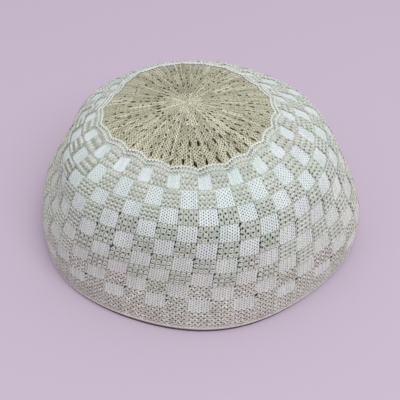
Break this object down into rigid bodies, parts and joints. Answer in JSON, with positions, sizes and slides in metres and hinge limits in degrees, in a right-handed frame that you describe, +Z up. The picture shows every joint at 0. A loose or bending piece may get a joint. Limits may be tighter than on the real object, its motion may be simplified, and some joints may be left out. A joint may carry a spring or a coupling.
{
  "type": "knitted kufi cap",
  "caption": "Brimless round knitted cap with a flat tan crown, a raised welt, a checked side and a plain hem.",
  "frame": {"origin": "middle of the cap's box, on the level that its hem stands on", "axes": "+Z up through the crown, the side that the wearer shows in front towards -Y, +X across"},
  "size_m": [0.1891, 0.1782, 0.0845],
  "materials": {
    "crown_yarn": "matt tan and cream marl, radial knit with eyelets",
    "welt_yarn": "matt cream yarn, raised chain of stitches",
    "check_yarn": "matt knit in checks, plain white by tan with cream loops",
    "hem_yarn": "matt tan and cream marl, fine plain knit",
    "edge_yarn": "matt pale cream cast-on edge"
  },
  "bodies": {
    "root": {"crown_top": "crown_yarn", "crown_welt": "welt_yarn", "check_wall": "check_yarn", "hem_band": "hem_yarn", "hem_edge": "edge_yarn"}
  },
  "joints": []
}
